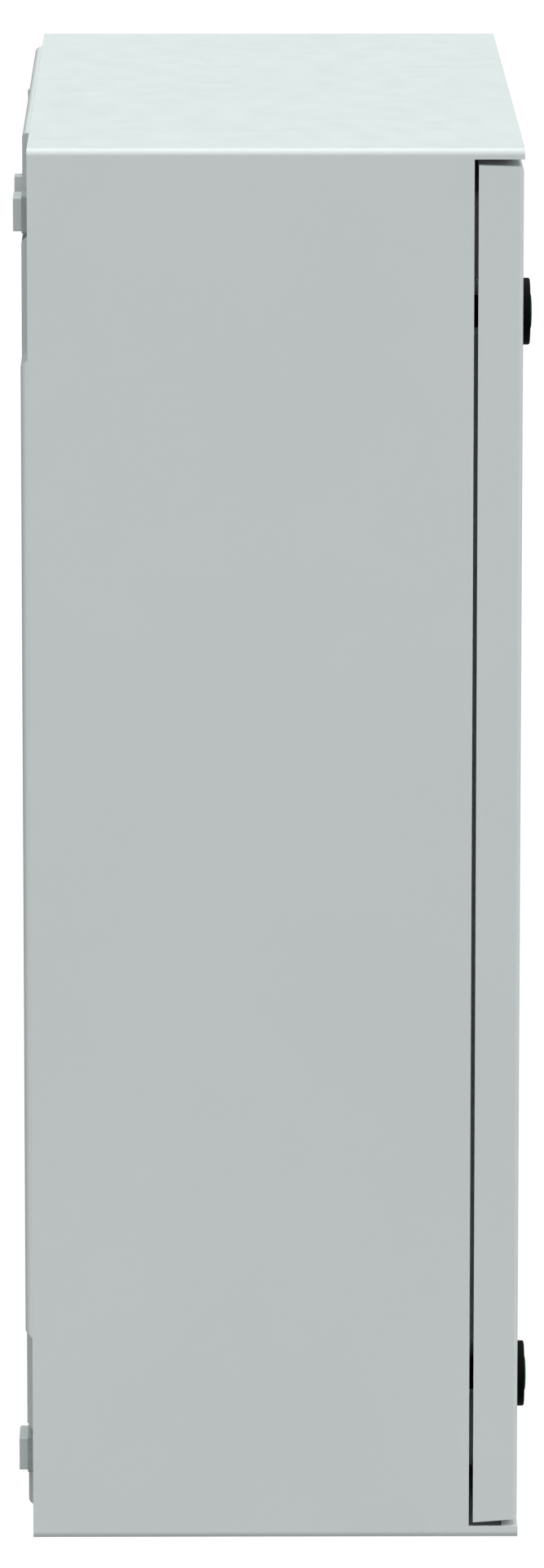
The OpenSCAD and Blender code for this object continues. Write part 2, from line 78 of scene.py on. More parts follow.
class Nodes:
    """A small helper for building a node tree."""

    def __init__(self, name):
        self.mat = bpy.data.materials.new(name)
        self.mat.use_nodes = True
        self.t = self.mat.node_tree
        self.bsdf = self.t.nodes["Principled BSDF"]
        self.out = self.t.nodes["Material Output"]
        self.coord = self.t.nodes.new("ShaderNodeTexCoord").outputs["Object"]

    def add(self, kind, **kw):
        n = self.t.nodes.new(kind)
        for k, v in kw.items():
            setattr(n, k, v)
        return n

    def link(self, a, b):
        self.t.links.new(a, b)

    def scaled(self, s):
        m = self.add("ShaderNodeMapping")
        m.inputs["Scale"].default_value = s
        self.link(self.coord, m.inputs["Vector"])
        return m.outputs["Vector"]

    def noise(self, scale, detail=2.0, rough=0.5, vec=None):
        n = self.add("ShaderNodeTexNoise")
        n.inputs["Scale"].default_value = scale
        n.inputs["Detail"].default_value = detail
        n.inputs["Roughness"].default_value = rough
        self.link(vec or self.coord, n.inputs["Vector"])
        return n.outputs["Fac"]

    def voronoi(self, scale, out="Distance", feature="F1", rand=1.0, vec=None):
        n = self.add("ShaderNodeTexVoronoi", feature=feature)
        n.inputs["Scale"].default_value = scale
        n.inputs["Randomness"].default_value = rand
        self.link(vec or self.coord, n.inputs["Vector"])
        return n.outputs[out]

    def ramp(self, fac, stops):
        n = self.add("ShaderNodeValToRGB")
        el = n.color_ramp.elements
        while len(el) < len(stops):
            el.new(0.5)
        for e, (p, c) in zip(el, stops):
            e.position = p
            e.color = c if len(c) == 4 else (*c, 1)
        self.link(fac, n.inputs["Fac"])
        return n.outputs["Color"]

    def mapr(self, fac, a, b, c, d):
        n = self.add("ShaderNodeMapRange")
        for k, v in zip(("From Min", "From Max", "To Min", "To Max"), (a, b, c, d)):
            n.inputs[k].default_value = v
        self.link(fac, n.inputs["Value"])
        return n.outputs["Result"]

    def mix(self, a, b, fac, mode="MIX"):
        n = self.add("ShaderNodeMix", data_type="RGBA", blend_type=mode)
        for sock, v in ((n.inputs[6], a), (n.inputs[7], b), (n.inputs[0], fac)):
            if isinstance(v, (int, float)):
                sock.default_value = v
            elif isinstance(v, tuple):
                sock.default_value = v if len(v) == 4 else (*v, 1)
            else:
                self.link(v, sock)
        return n.outputs[2]

    def math(self, op, a, b=0.0):
        n = self.add("ShaderNodeMath", operation=op)
        for sock, v in ((n.inputs[0], a), (n.inputs[1], b)):
            if isinstance(v, (int, float)):
                sock.default_value = v
            else:
                self.link(v, sock)
        return n.outputs[0]

    def bump(self, height, strength, dist, prev=None):
        n = self.add("ShaderNodeBump")
        n.inputs["Strength"].default_value = strength
        n.inputs["Distance"].default_value = dist
        self.link(height, n.inputs["Height"])
        if prev is not None:
            self.link(prev, n.inputs["Normal"])
        return n.outputs["Normal"]

    def put(self, name, v):
        s = self.bsdf.inputs[name]
        if isinstance(v, (int, float)):
            s.default_value = v
        elif isinstance(v, tuple):
            s.default_value = v if len(v) == 4 else (*v, 1)
        else:
            self.link(v, s)


def powder_coat(name, rgb):
    m = Nodes(name)
    # a fine pebbled grain over a slow drift in tone, as powder coat has
    grain = m.noise(1500, 2.5, 0.6)
    peel = m.noise(420, 2.0, 0.5)
    drift = m.noise(7, 3.0, 0.55)
    tone = m.mapr(drift, 0.3, 0.7, -0.012, 0.012)
    speck = m.mapr(grain, 0.3, 0.7, -0.018, 0.018)
    k = m.math("ADD", m.math("ADD", tone, speck), 1.0)
    comb = m.add("ShaderNodeCombineColor")
    for i, s in enumerate(("Red", "Green", "Blue")):
        m.link(m.math("MULTIPLY", k, rgb[i]), comb.inputs[s])
    m.put("Base Color", comb.outputs["Color"])
    m.put("Roughness", m.mapr(m.noise(60, 3.0), 0.3, 0.7, 0.44, 0.54))
    m.put("Specular IOR Level", 0.42)
    b = m.bump(grain, 0.14, 0.00010)
    m.put("Normal", m.bump(peel, 0.08, 0.00025, b))
    return m.mat


def galvanised(name):
    m = Nodes(name)
    wob = m.add("ShaderNodeVectorMath", operation="MULTIPLY_ADD")
    jit = m.add("ShaderNodeTexNoise")
    jit.inputs["Scale"].default_value = 60
    m.link(m.coord, jit.inputs["Vector"])
    m.link(jit.outputs["Color"], wob.inputs[0])
    wob.inputs[1].default_value = (0.004, 0.004, 0.004)
    m.link(m.coord, wob.inputs[2])
    cells = m.voronoi(170, "Color", vec=wob.outputs[0])
    sep = m.add("ShaderNodeSeparateColor")
    m.link(cells, sep.inputs["Color"])
    big = m.voronoi(75, "Color", vec=wob.outputs[0])
    sep2 = m.add("ShaderNodeSeparateColor")
    m.link(big, sep2.inputs["Color"])
    f = m.math("ADD", m.math("MULTIPLY", sep.outputs["Red"], 0.6), m.math("MULTIPLY", sep2.outputs["Green"], 0.4))
    cloud = m.noise(9, 3.0, 0.5)
    f2 = m.math("ADD", m.math("MULTIPLY", f, 0.75), m.math("MULTIPLY", cloud, 0.25))
    m.put("Base Color", m.ramp(f2, [(0.2, (0.55, 0.565, 0.58)), (0.5, (0.60, 0.615, 0.63)), (0.8, (0.655, 0.67, 0.685))]))
    m.put("Metallic", 1.0)
    m.put("Roughness", m.mapr(f, 0.0, 1.0, 0.38, 0.50))
    m.put("Normal", m.bump(m.noise(900, 3.0), 0.06, 0.0002, m.bump(f, 0.03, 0.0003)))
    return m.mat


def zinc_plate(name, rgb, rough=0.32, tint=(0.62, 0.60, 0.50)):
    m = Nodes(name)
    cloud = m.noise(90, 3.0, 0.55)
    fine = m.noise(2600, 2.0, 0.5)
    c = m.mix(rgb, tint, m.mapr(cloud, 0.45, 0.75, 0.0, 0.35))
    m.put("Base Color", m.mix(c, (0.86, 0.87, 0.9), m.mapr(fine, 0.55, 0.8, 0.0, 0.25)))
    m.put("Metallic", 1.0)
    m.put("Roughness", m.mapr(m.noise(240, 3.0), 0.3, 0.7, rough - 0.06, rough + 0.09))
    m.put("Normal", m.bump(fine, 0.1, 0.00008))
    return m.mat


def foam(name):
    m = Nodes(name)
    pores = m.voronoi(900, "Distance")
    skin = m.noise(260, 3.0, 0.6)
    m.put("Base Color", m.ramp(m.math("ADD", m.math("MULTIPLY", pores, 0.6), m.math("MULTIPLY", skin, 0.5)),
                               [(0.15, (0.012, 0.012, 0.013)), (0.6, (0.035, 0.035, 0.036)), (0.95, (0.06, 0.06, 0.062))]))
    m.put("Roughness", m.mapr(skin, 0.3, 0.7, 0.78, 0.92))
    m.put("Sheen Weight", 0.15)
    m.put("Specular IOR Level", 0.3)
    m.put("Normal", m.bump(pores, 0.35, 0.0003, m.bump(skin, 0.3, 0.0006)))
    return m.mat


def nylon(name, rgb, lift=1.6, rough=0.5):
    m = Nodes(name)
    grain = m.noise(2200, 2.0, 0.6)
    flow = m.noise(120, 3.0, 0.5, m.scaled((1.0, 1.0, 0.25)))
    hi = tuple(c * lift for c in rgb)
    m.put("Base Color", m.mix(rgb, hi, m.mapr(m.math("ADD", m.math("MULTIPLY", grain, 0.6), m.math("MULTIPLY", flow, 0.4)), 0.35, 0.7, 0.0, 1.0)))
    m.put("Roughness", m.mapr(flow, 0.3, 0.7, rough - 0.05, rough + 0.08))
    m.put("Specular IOR Level", 0.05)
    m.put("Normal", m.bump(grain, 0.18, 0.00008))
    return m.mat


def grey_rubber(name, rgb):
    m = Nodes(name)
    mottle = m.noise(300, 3.0, 0.6)
    fine = m.noise(1800, 2.0, 0.5)
    m.put("Base Color", m.mix(tuple(c * 0.93 for c in rgb), tuple(c * 1.06 for c in rgb), m.mapr(mottle, 0.3, 0.7, 0.0, 1.0)))
    m.put("Roughness", m.mapr(mottle, 0.3, 0.7, 0.72, 0.86))
    m.put("Specular IOR Level", 0.3)
    m.put("Normal", m.bump(fine, 0.2, 0.0001))
    return m.mat


PAINT = powder_coat("light_grey_powder_coat", (0.700, 0.700, 0.712))
GALV = galvanised("galvanised_sheet")
ZINC = zinc_plate("bright_zinc", (0.66, 0.68, 0.70))
BOLT = zinc_plate("plated_fastener", (0.54, 0.55, 0.57), 0.28)
FOAM = foam("black_foam_seal")
BLACK = nylon("black_nylon", (0.0012, 0.0013, 0.0015), 1.4)
GREEN = nylon("dark_green_insert", (0.004, 0.110, 0.048), 1.25)
RUBBER = grey_rubber("light_grey_rubber", (0.44, 0.445, 0.445))

SLOT_MAT = {
    "body_paint": PAINT,
    "galvanised_sheet": GALV,
    "zinc_plated_steel": ZINC,
    "fastener_steel": BOLT,
    "foam_seal": FOAM,
    "lock_black": BLACK,
    "lock_green": GREEN,
    "grey_rubber": RUBBER,
}
node_slot = {s["node"]: s["material_slot"] for s in frame["record"]["subparts"]}
node_body = {n: b for b, ns in frame["record"]["behaviour"]["bodies"].items() for n in ns}

# ---------------------------------------------------------------------------
# CAD nodes: material, clean edges
# ---------------------------------------------------------------------------

BEVEL = {
    "body_wrapper": 0.45, "rear_panel": 0.5, "front_channel": 0.35, "wall_pads": 0.45, "wall_pad_seals": 0.4, "door_panel": 0.4,
    "mounting_plate": 0.3, "gland_plate": 0.3, "gland_plate_gasket": 0.3,
    "hinge_bracket_upper": 0.35, "hinge_bracket_lower": 0.35, "hinge_leaf_upper": 0.35, "hinge_leaf_lower": 0.35,
    "latch_keeper_upper": 0.3, "latch_keeper_lower": 0.3, "door_rail_left": 0.35, "door_rail_right": 0.35,
    "lock_cam_upper": 0.3, "lock_cam_lower": 0.3, "mounting_plate_spacers": 0.3, "mounting_plate_washers": 0.25,
    "lock_housing_upper": 0.15, "lock_housing_lower": 0.15, "lock_insert_upper": 0.12, "lock_insert_lower": 0.12,
    "hinge_pin_upper": 0.3, "hinge_pin_lower": 0.3,
}
for name, o in NODES.items():
    o.data.materials.clear()
    o.data.materials.append(SLOT_MAT[node_slot[name]])
    weld = o.modifiers.new("weld", "WELD")
    weld.merge_threshold = 0.000002
    flat = o.modifiers.new("flat", "DECIMATE")
    flat.decimate_type = "DISSOLVE"
    flat.angle_limit = math.radians(0.3)
    w = BEVEL.get(name)
    if w:
        bev = o.modifiers.new("edges", "BEVEL")
        bev.width = w * MM
        bev.segments = 2
        bev.limit_method = "ANGLE"
        bev.angle_limit = math.radians(35)
        bev.harden_normals = False
        bev.use_clamp_overlap = True
    for p in o.data.polygons:
        p.use_smooth = True
    sm = o.modifiers.new("shade", "WEIGHTED_NORMAL")
    sm.keep_sharp = True
    sm.weight = 60

# ---------------------------------------------------------------------------
# finely modelled pieces that stand for CAD nodes
# ---------------------------------------------------------------------------

T = 1.5


def yd(d):
    """Y of a depth in mm behind the front plane of the lips."""
    return (d - 250.0) * MM


def frame_to(origin, axis, side=None):
    """Local +Z along axis, local +X along side, millimetres to metres."""
    z = Vector(axis).normalized()
    x = Vector(side) if side else (Vector((1, 0, 0)) if abs(z.x) < 0.9 else Vector((0, 0, 1)))
    x = (x - z * x.dot(z)).normalized()
    y = z.cross(x)
    m = Matrix(((x.x, y.x, z.x, origin[0]), (x.y, y.y, z.y, origin[1]), (x.z, y.z, z.z, origin[2]), (0, 0, 0, 1)))
    return m @ Matrix.Diagonal((MM, MM, MM, 1))


class Mesh:
    """Collects vertices and faces for one piece."""

    def __init__(self):
        self.v, self.f = [], []

    def rings(self, m, rings, closed=True, caps=True):
        """Joins rings of equal length; closed joins the last ring to the first."""
        n = len(rings[0])
        base = len(self.v)
        for r in rings:
            self.v += [m @ Vector(p) for p in r]
        k = len(rings)
        for i in range(k if closed else k - 1):
            a, b = base + i * n, base + ((i + 1) % k) * n
            for j in range(n):
                j2 = (j + 1) % n
                self.f.append((a + j, a + j2, b + j2, b + j))
        if caps and not closed:
            self.f.append(tuple(base + j for j in reversed(range(n))))
            self.f.append(tuple(base + (k - 1) * n + j for j in range(n)))

    def lathe(self, m, profile, seg=48, closed=True, caps=True, shape=None):
        """profile is (radius, height) pairs; shape(i, angle, r, z) may change a point."""
        rings = []
        for i, (r, z) in enumerate(profile):
            ring = []
            for j in range(seg):
                a = 2 * math.pi * j / seg
                rr, zz = shape(i, a, r, z) if shape else (r, z)
                ring.append((rr * math.cos(a), rr * math.sin(a), zz))
            rings.append(ring)
        self.rings(m, rings, closed, caps)

    def make(self, name, nodes, sharp=32):
        me = bpy.data.meshes.new(name)
        me.from_pydata([tuple(p) for p in self.v], [], self.f)
        bm = bmesh.new()
        bm.from_mesh(me)
        bmesh.ops.recalc_face_normals(bm, faces=bm.faces)
        bm.to_mesh(me)
        bm.free()
        return adopt(name, me, nodes, sharp)


def adopt(name, me, nodes, sharp=32, weighted=False):
    """Makes a piece of a mesh: it stands for CAD nodes and rides where they ride."""
    me.polygons.foreach_set("use_smooth", [True] * len(me.polygons))
    if sharp:
        me.set_sharp_from_angle(angle=math.radians(sharp))
    o = bpy.data.objects.new(name, me)
    scene.collection.objects.link(o)
    me.materials.clear()
    me.materials.append(SLOT_MAT[node_slot[nodes[0]]])
    if weighted:
        wn = o.modifiers.new("shade", "WEIGHTED_NORMAL")
        wn.keep_sharp = True
        wn.weight = 60
    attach(o, node_body[nodes[0]])
    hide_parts(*nodes)
    return o


def hex_r(a, rv):
    """Radius of a hexagon of vertex radius rv at angle a, with a vertex at angle 0."""
    b = math.fmod(a, math.pi / 3)
    return rv * math.cos(math.pi / 6) / math.cos(b - math.pi / 6)


def nut(mesh, m, rv, h, bore, z0=0.0, seg=48, both=True):
    """Hexagon nut with 30 degree corner chamfers and a countersunk bore."""
    rc = rv * math.cos(math.pi / 6) * 0.975
    cb = min(0.5, bore * 0.12)
    prof = [(bore, h - cb), (bore + cb, h), (rc, h), (rv, h), (rv, 0), (rc, 0), (bore + cb, 0), (bore, cb)]

    def shape(i, a, r, z):
        if i in (3, 4):
            rh = hex_r(a, rv)
            drop = (rh - rc) * math.tan(math.radians(30))
            z = h - drop if i == 3 else (drop if both else 0.0)
            r = rh
        return r, z + z0

    mesh.lathe(m, prof, seg, closed=True, shape=shape)


def washer(mesh, m, ro, ri, z0, z1, seg=48):
    b = 0.2
    mesh.lathe(m, [(ri, z0 + b), (ri + b, z0), (ro - b, z0), (ro, z0 + b), (ro, z1 - b), (ro - b, z1), (ri + b, z1), (ri, z1 - b)], seg)


def rod(mesh, m, r, z0, z1, pitch, t0=None, t1=None, seg=20, per=5, chamfer0=True, chamfer1=True):
    """A stud with a real helical thread from t0 to t1, plain elsewhere."""
    t0 = z0 if t0 is None else t0
    t1 = z1 if t1 is None else t1
    deep = 0.58 * pitch
    zs = []
    z = z0
    while z < z1 - 1e-6:
        zs.append(z)
        z += pitch / per if t0 - pitch < z < t1 + pitch else pitch
    zs.append(z1)
    rings = []
    for z in zs:
        ring = []
        for j in range(seg):
            a = j / seg
            rr = r
            if t0 <= z <= t1:
                ph = (z / pitch - a) % 1.0
                rr = r - deep * (1 - abs(2 * ph - 1))
            if chamfer0:
                rr = min(rr, r - pitch * 0.9 + (z - z0))
            if chamfer1:
                rr = min(rr, r - pitch * 0.9 + (z1 - z))
            ring.append((rr * math.cos(2 * math.pi * a), rr * math.sin(2 * math.pi * a), z))
        rings.append(ring)
    mesh.rings(m, rings, closed=False)


def socket_screw(mesh, m, rh, h, rs, depth, shank_r, shank_l, pitch, seg=48):
    """Low socket head screw; the seat of the head is at z = 0 and the shank runs to -Z."""
    b = 0.35
    prof = [(0.01, h - depth), (rs, h - depth), (rs, h - 0.25), (rs + 0.25, h), (rh - b * 1.6, h), (rh - b * 0.5, h - b * 0.35), (rh, h - b * 1.3), (rh, 0.15), (rh - 0.15, 0), (shank_r, 0)]

    def shape(i, a, r, z):
        if i in (1, 2):
            r = hex_r(a, rs)
        if i == 3:
            r = max(hex_r(a, rs) + 0.12, rs * 0.97 + 0.1)
        return r, z

    mesh.lathe(m, prof, seg, closed=False, caps=True, shape=shape)
    rod(mesh, m, shank_r, -shank_l, 0.0, pitch, -shank_l, -0.6, chamfer1=False)


RV8, RV5 = 7.5, 4.6
fx, fz = 196.0, 315.0
# mounting plate fixings
studs, nuts, washers, spacers = Mesh(), Mesh(), Mesh(), Mesh()
for i in (-1, 1):
    for j in (-1, 1):
        m = frame_to((i * 200 * MM, yd(222), j * 270 * MM), (0, -1, 0), (1, 0, 0))
        rod(studs, m, 4.0, -22.3, 10.0, 1.25, -4.0, 10.0, seg=24, chamfer0=False)
        nut(nuts, m, RV8, 6.5, 4.05, 1.6)
        washer(washers, m, 8.0, 4.1, 0.0, 1.6)
        spacers.lathe(m, [(4.1, -2.8), (4.4, -2.5), (7.6, -2.5), (8.0, -2.9), (8.0, -21.9), (7.6, -22.3), (4.4, -22.3), (4.1, -22.0)], 48)
studs.make("plate_studs", ["mounting_plate_studs"])
nuts.make("plate_nuts", ["mounting_plate_nuts"], 20)
washers.make("plate_washers", ["mounting_plate_washers"])
spacers.make("plate_spacers", ["mounting_plate_spacers"])

# earth points
for tag, o0, ax, sd, length in (
    ("body_earth", ((-250 + T) * MM, yd(150), -300 * MM), (1, 0, 0), (0, 0, -1), 22.0),
    ("door_earth", (150 * MM, yd(0.45 + T), -290 * MM), (0, 1, 0), (1, 0, 0), 20.0),
):
    m = frame_to(o0, ax, sd)
    s = Mesh()
    rod(s, m, 4.0, 0.0, length, 1.25, 2.0, length, seg=24, chamfer0=False)
    s.make(tag + "_thread", [tag + "_stud"])
    n = Mesh()
    washer(n, m, 8.0, 4.05, 0.0, 1.6)
    nut(n, m, RV8, 6.5, 4.05, 1.6)
    n.make(tag + "_hexagon", [tag + "_nut"], 20)

# door rail studs and nuts
s, n = Mesh(), Mesh()
for side in (-1, 1):
    for k in (-1.5, -0.5, 0.5, 1.5):
        m = frame_to((side * 190 * MM, yd(0.45 + T), k * 280 * 2 / 3 * MM), (0, 1, 0), (1, 0, 0))
        rod(s, m, 2.5, 0.0, 25.0, 0.8, 15.0, 25.0, chamfer0=False)
        nut(n, m, RV5, 4.0, 2.55, 19.0, seg=36)
s.make("rail_studs", ["door_rail_studs"])
n.make("rail_nuts", ["door_rail_nuts"], 20)

# hinge fixings
s, n, b = Mesh(), Mesh(), Mesh()
for z in (-230, 230):
    for k in (-18, 18):
        m = frame_to((229 * MM, yd(0.45 + T), (z + k) * MM), (0, 1, 0), (1, 0, 0))
        rod(s, m, 2.5, 0.0, 8.0, 0.8, 2.0, 8.0, chamfer0=False)
        nut(n, m, RV5, 4.0, 2.55, 2.5, seg=36)
        m = frame_to((229 * MM, yd(29), (z + k) * MM), (0, -1, 0), (1, 0, 0))
        socket_screw(b, m, 4.4, 3.0, 2.2, 1.8, 2.5, 9.0, 0.8)
s.make("leaf_studs", ["hinge_leaf_studs"])
n.make("leaf_nuts", ["hinge_leaf_nuts"], 20)
b.make("bracket_screws", ["hinge_bracket_screws"])
for tag, z in (("upper", 230), ("lower", -230)):
    p = Mesh()
    m = frame_to((242 * MM, yd(10), z * MM), (0, 0, 1), (1, 0, 0))
    p.lathe(m, [(1.7, -29.5), (2.5, -28.7), (2.5, 28.0), (3.4, 28.0), (3.7, 28.3), (3.7, 29.2), (3.3, 29.7), (2.2, 29.95), (0.4, 30.0)], 40, closed=False)
    p.make("pin_" + tag, ["hinge_pin_" + tag])

# entry plate screws
s = Mesh()
for i in (-1, 0, 1):
    for j in (-1, 1):
        m = frame_to((i * 170 * MM, yd(120 + j * 70), (-350 + T + 4) * MM), (0, 0, 1), (1, 0, 0))
        socket_screw(s, m, 5.5, 3.5, 2.6, 2.0, 3.0, 5.4, 1.0)
s.make("entry_screws", ["gland_plate_screws"])

# lock parts
n = Mesh()
for z in (-269.9, 267.5):
    nut(n, frame_to((-230.5 * MM, yd(0.45 + T), z * MM), (0, 1, 0), (1, 0, 0)), 11.5, 5.0, 8.27, 0.0, seg=60)
n.make("lock_hexagons", ["lock_nuts"], 20)
for tag, z in (("upper", 267.5), ("lower", -269.9)):
    c = Mesh()
    m = frame_to((-230.5 * MM, yd(27.8), z * MM), (0, 1, 0), (1, 0, 0))
    rc = 5.0 * math.cos(math.pi / 6) * 0.97
    prof = [(0.01, 2.4), (2.7, 2.4), (3.0, 2.6), (3.0, 3.0), (rc, 3.0), (5.0, 3.0), (5.0, 0.0), (2.45, 0.0)]

    def head(i, a, r, zz, rc=rc):
        if i in (5, 6):
            r = hex_r(a, 5.0)
            if i == 5:
                zz = 3.0 - (r - rc) * math.tan(math.radians(30))
        return r, zz

    c.lathe(m, prof, 48, closed=False, caps=True, shape=head)
    rod(c, m, 2.45, -9.8, 0.0, 0.8, -9.8, -0.4, chamfer1=False)
    c.make("cam_screw_" + tag, ["lock_cam_screw_" + tag], 20)

    # housing: chamfered flange, recessed face with two index notches, threaded barrel
    h = Mesh()
    m = frame_to((-230.5 * MM, yd(0.45), z * MM), (0, -1, 0), (1, 0, 0))
    R, H = 16.4, 3.7
    back = -24.55
    prof = [(6.05, back), (7.6, back)]
    zz = back + 0.7
    prof.append((8.25, zz))
    while zz < -7.5:
        zz += 0.4
        prof.append((8.25 - (0.55 if int(round((zz - back - 0.7) / 0.4)) % 3 == 1 else 0.0), zz))
    prof += [(8.25, -6.9), (8.25, 0.0), (9.15, 0.0), (9.25, 1.0), (13.95, 1.0), (14.05, 0.0), (R - 0.25, 0.0), (R, 0.25), (R, H - 0.95)]
    for k in range(1, 7):
        a = math.pi / 2 * k / 6
        prof.append((R - 0.95 + 0.95 * math.cos(a), H - 0.95 + 0.95 * math.sin(a)))
    i0 = len(prof)
    prof += [(13.9, H), (13.6, H), (10.3, H), (10.0, H), (9.3, H), (9.05, H - 0.25), (9.05, H - 1.8), (6.05, H - 1.8)]
    notch = {i0 + 1, i0 + 2}

    def cut(i, a, r, zz, notch=notch):
        if i in notch:
            d = min(abs((a - t + math.pi) % (2 * math.pi) - math.pi) for t in (math.pi / 2, math.pi))
            if d < 0.075:
                zz -= 0.45
        return r, zz

    h.lathe(m, prof, 144, closed=True, shape=cut)
    h.make("housing_" + tag, ["lock_housing_" + tag], 38)

    # insert: slightly domed face with a double-bit key socket and its centre pin
    ins = Mesh()
    f = H + 1.0
    ins.lathe(m, [(0.02, f), (1.8, f), (3.5, f - 0.03), (5.0, f - 0.08), (6.4, f - 0.16), (7.5, f - 0.27), (8.2, f - 0.42), (8.6, f - 0.62), (8.8, f - 0.95), (8.8, H - 1.7), (6.0, H - 1.7), (6.0, -24.85), (5.6, -24.85), (0.02, -24.85)], 72, closed=False)
    me = bpy.data.meshes.new("insert")
    me.from_pydata([tuple(p) for p in ins.v], [], ins.f)
    base = bpy.data.objects.new("insert_base", me)
    scene.collection.objects.link(base)

    def solid(name, build):
        q = Mesh()
        build(q)
        mm_ = bpy.data.meshes.new(name)
        mm_.from_pydata([tuple(p) for p in q.v], [], q.f)
        bm = bmesh.new()
        bm.from_mesh(mm_)
        bmesh.ops.recalc_face_normals(bm, faces=bm.faces)
        bm.to_mesh(mm_)
        bm.free()
        ob = bpy.data.objects.new(name, mm_)
        scene.collection.objects.link(ob)
        return ob

    def ring_box(x0, x1, y0, y1, z):
        return [(x0, y0, z), (x1, y0, z), (x1, y1, z), (x0, y1, z)]

    def socket(q):
        prof = [(1.5, f + 2), (3.4, f + 2), (3.4, -3.6), (1.5, -3.6)]
        q.lathe(m, prof, 48, closed=True)

    def bits(q):
        for s0, s1 in ((2.2, 5.4), (-5.4, -2.2)):
            q.rings(m, [ring_box(-1.3, 1.3, s0, s1, -3.4), ring_box(-1.3, 1.3, s0, s1, f + 2)], closed=False)

    def square(q):
        q.rings(m, [ring_box(-3.5, 3.5, -3.5, 3.5, -27.35), ring_box(-3.5, 3.5, -3.5, 3.5, -24.6)], closed=False)

    def bore(q):
        q.lathe(m, [(2.5, -29.55), (2.5, -16.55)], 32, closed=False)

    cutters = []
    for kind, op in ((square, "UNION"), (socket, "DIFFERENCE"), (bits, "DIFFERENCE"), (bore, "DIFFERENCE")):
        ob = solid(kind.__name__, kind)
        bo = base.modifiers.new(kind.__name__, "BOOLEAN")
        bo.operation = op
        bo.solver = "EXACT"
        bo.object = ob
        cutters.append(ob)
    bm = bmesh.new()
    bm.from_mesh(me)
    bmesh.ops.recalc_face_normals(bm, faces=bm.faces)
    bm.to_mesh(me)
    bm.free()
    deps = bpy.context.evaluated_depsgraph_get()
    done = bpy.data.meshes.new_from_object(base.evaluated_get(deps))
    for ob in cutters + [base]:
        bpy.data.objects.remove(ob, do_unlink=True)
    adopt("insert_" + tag, done, ["lock_insert_" + tag], 30)


# foam seal: a poured bead with a rounded crown, a slow waver and the bump where it starts and ends
def seal_bead():
    cxm, czm, rad = 250 - 36 - T / 2, 350 - 26.5 - T / 2, 5.6
    path = []

    def run(x0, z0, x1, z1, nx, nz, n):
        for k in range(n):
            t = k / n
            path.append((x0 + (x1 - x0) * t, z0 + (z1 - z0) * t, nx, nz))

    def bend(cx, cz, a0, n=10):
        for k in range(n):
            a = math.radians(a0 + 90 * k / n)
            path.append((cx + rad * math.cos(a), cz + rad * math.sin(a), math.cos(a), math.sin(a)))

    run(cxm, -czm + rad, cxm, czm - rad, 1, 0, 120)
    bend(cxm - rad, czm - rad, 0)
    run(cxm - rad, czm, -cxm + rad, czm, 0, 1, 90)
    bend(-cxm + rad, czm - rad, 90)
    run(-cxm, czm - rad, -cxm, -czm + rad, -1, 0, 120)
    bend(-cxm + rad, -czm + rad, 180)
    run(-cxm + rad, -czm, cxm - rad, -czm, 0, -1, 90)
    bend(cxm - rad, -czm + rad, 270)
    prof = [(-1.0, 0.0), (-1.0, 0.30), (-0.97, 0.52), (-0.88, 0.72), (-0.70, 0.88), (-0.42, 0.97), (0.0, 1.0),
            (0.42, 0.97), (0.70, 0.88), (0.88, 0.72), (0.97, 0.52), (1.0, 0.30), (1.0, 0.0)]
    W, HT = 4.75, 9.7
    rings = []
    d = 0.0
    last = None
    for x, z, nx, nz in path:
        if last:
            d += math.hypot(x - last[0], z - last[1])
        last = (x, z)
        w = W * (0.975 + 0.012 * math.sin(d / 23.0) + 0.010 * math.sin(d / 7.3 + 1.0))
        top = HT * (0.985 + 0.008 * math.sin(d / 31.0 + 2.0) + 0.006 * math.sin(d / 9.1))
        shift = 0.05 * math.sin(d / 41.0)
        joint = math.exp(-((x - 60) / 5.0) ** 2) if nz < -0.9 else 0.0
        w = min(W, w * (1 + 0.04 * joint))
        top = min(HT, top * (1 - 0.05 * joint))
        rings.append([((x + nx * (s * w + shift)) * MM, yd(0.45 + T + q * top), (z + nz * (s * w + shift)) * MM) for s, q in prof])
    bead = Mesh()
    bead.rings(Matrix.Identity(4), rings, closed=True)
    # close the flat underside: the profile's first and last points are joined by the ring wrap
    bead.make("seal_bead", ["door_gasket"], 50)


seal_bead()


def refined(node, width, segs=2, skip=None, angle=35, weighted=True):
    """A copy of a CAD shell with its folded edges eased, but not where two sheets are joined flush."""
    me = NODES[node].data.copy()
    bm = bmesh.new()
    bm.from_mesh(me)
    bmesh.ops.remove_doubles(bm, verts=bm.verts, dist=0.000002)
    bmesh.ops.dissolve_limit(bm, angle_limit=math.radians(0.3), verts=bm.verts, edges=bm.edges)
    pick = []
    for e in bm.edges:
        if len(e.link_faces) == 2 and e.calc_face_angle(0.0) > math.radians(angle) and not (skip and skip(e)):
            pick.append(e)
    bmesh.ops.bevel(bm, geom=pick, offset=width * MM, offset_type="OFFSET", segments=segs, profile=0.5, affect="EDGES", clamp_overlap=True)
    bmesh.ops.recalc_face_normals(bm, faces=bm.faces)
    bm.to_mesh(me)
    bm.free()
    o = adopt(node + "_shell", me, [node], 50, weighted=weighted)
    return o


def at_depth(e, d, tol=0.03):
    return all(abs(v.co.y - yd(d)) < tol * MM for v in e.verts)


def outer(e, tol=0.05):
    """An edge on the outer skin of the wrapper."""
    return all(abs(v.co.x) > (250 - 3.5) * MM or abs(v.co.z) > (350 - 3.5) * MM for v in e.verts) and all(
        abs(v.co.x) > (250 - tol) * MM or abs(v.co.z) > (350 - tol) * MM or (abs(v.co.x) > 246.5 * MM and abs(v.co.z) > 346.5 * MM) for v in e.verts)


refined("body_wrapper", 0.45, skip=lambda e: at_depth(e, 242.4) and outer(e))
refined("rear_panel", 1.1, 3, skip=lambda e: at_depth(e, 242.4) and outer(e))

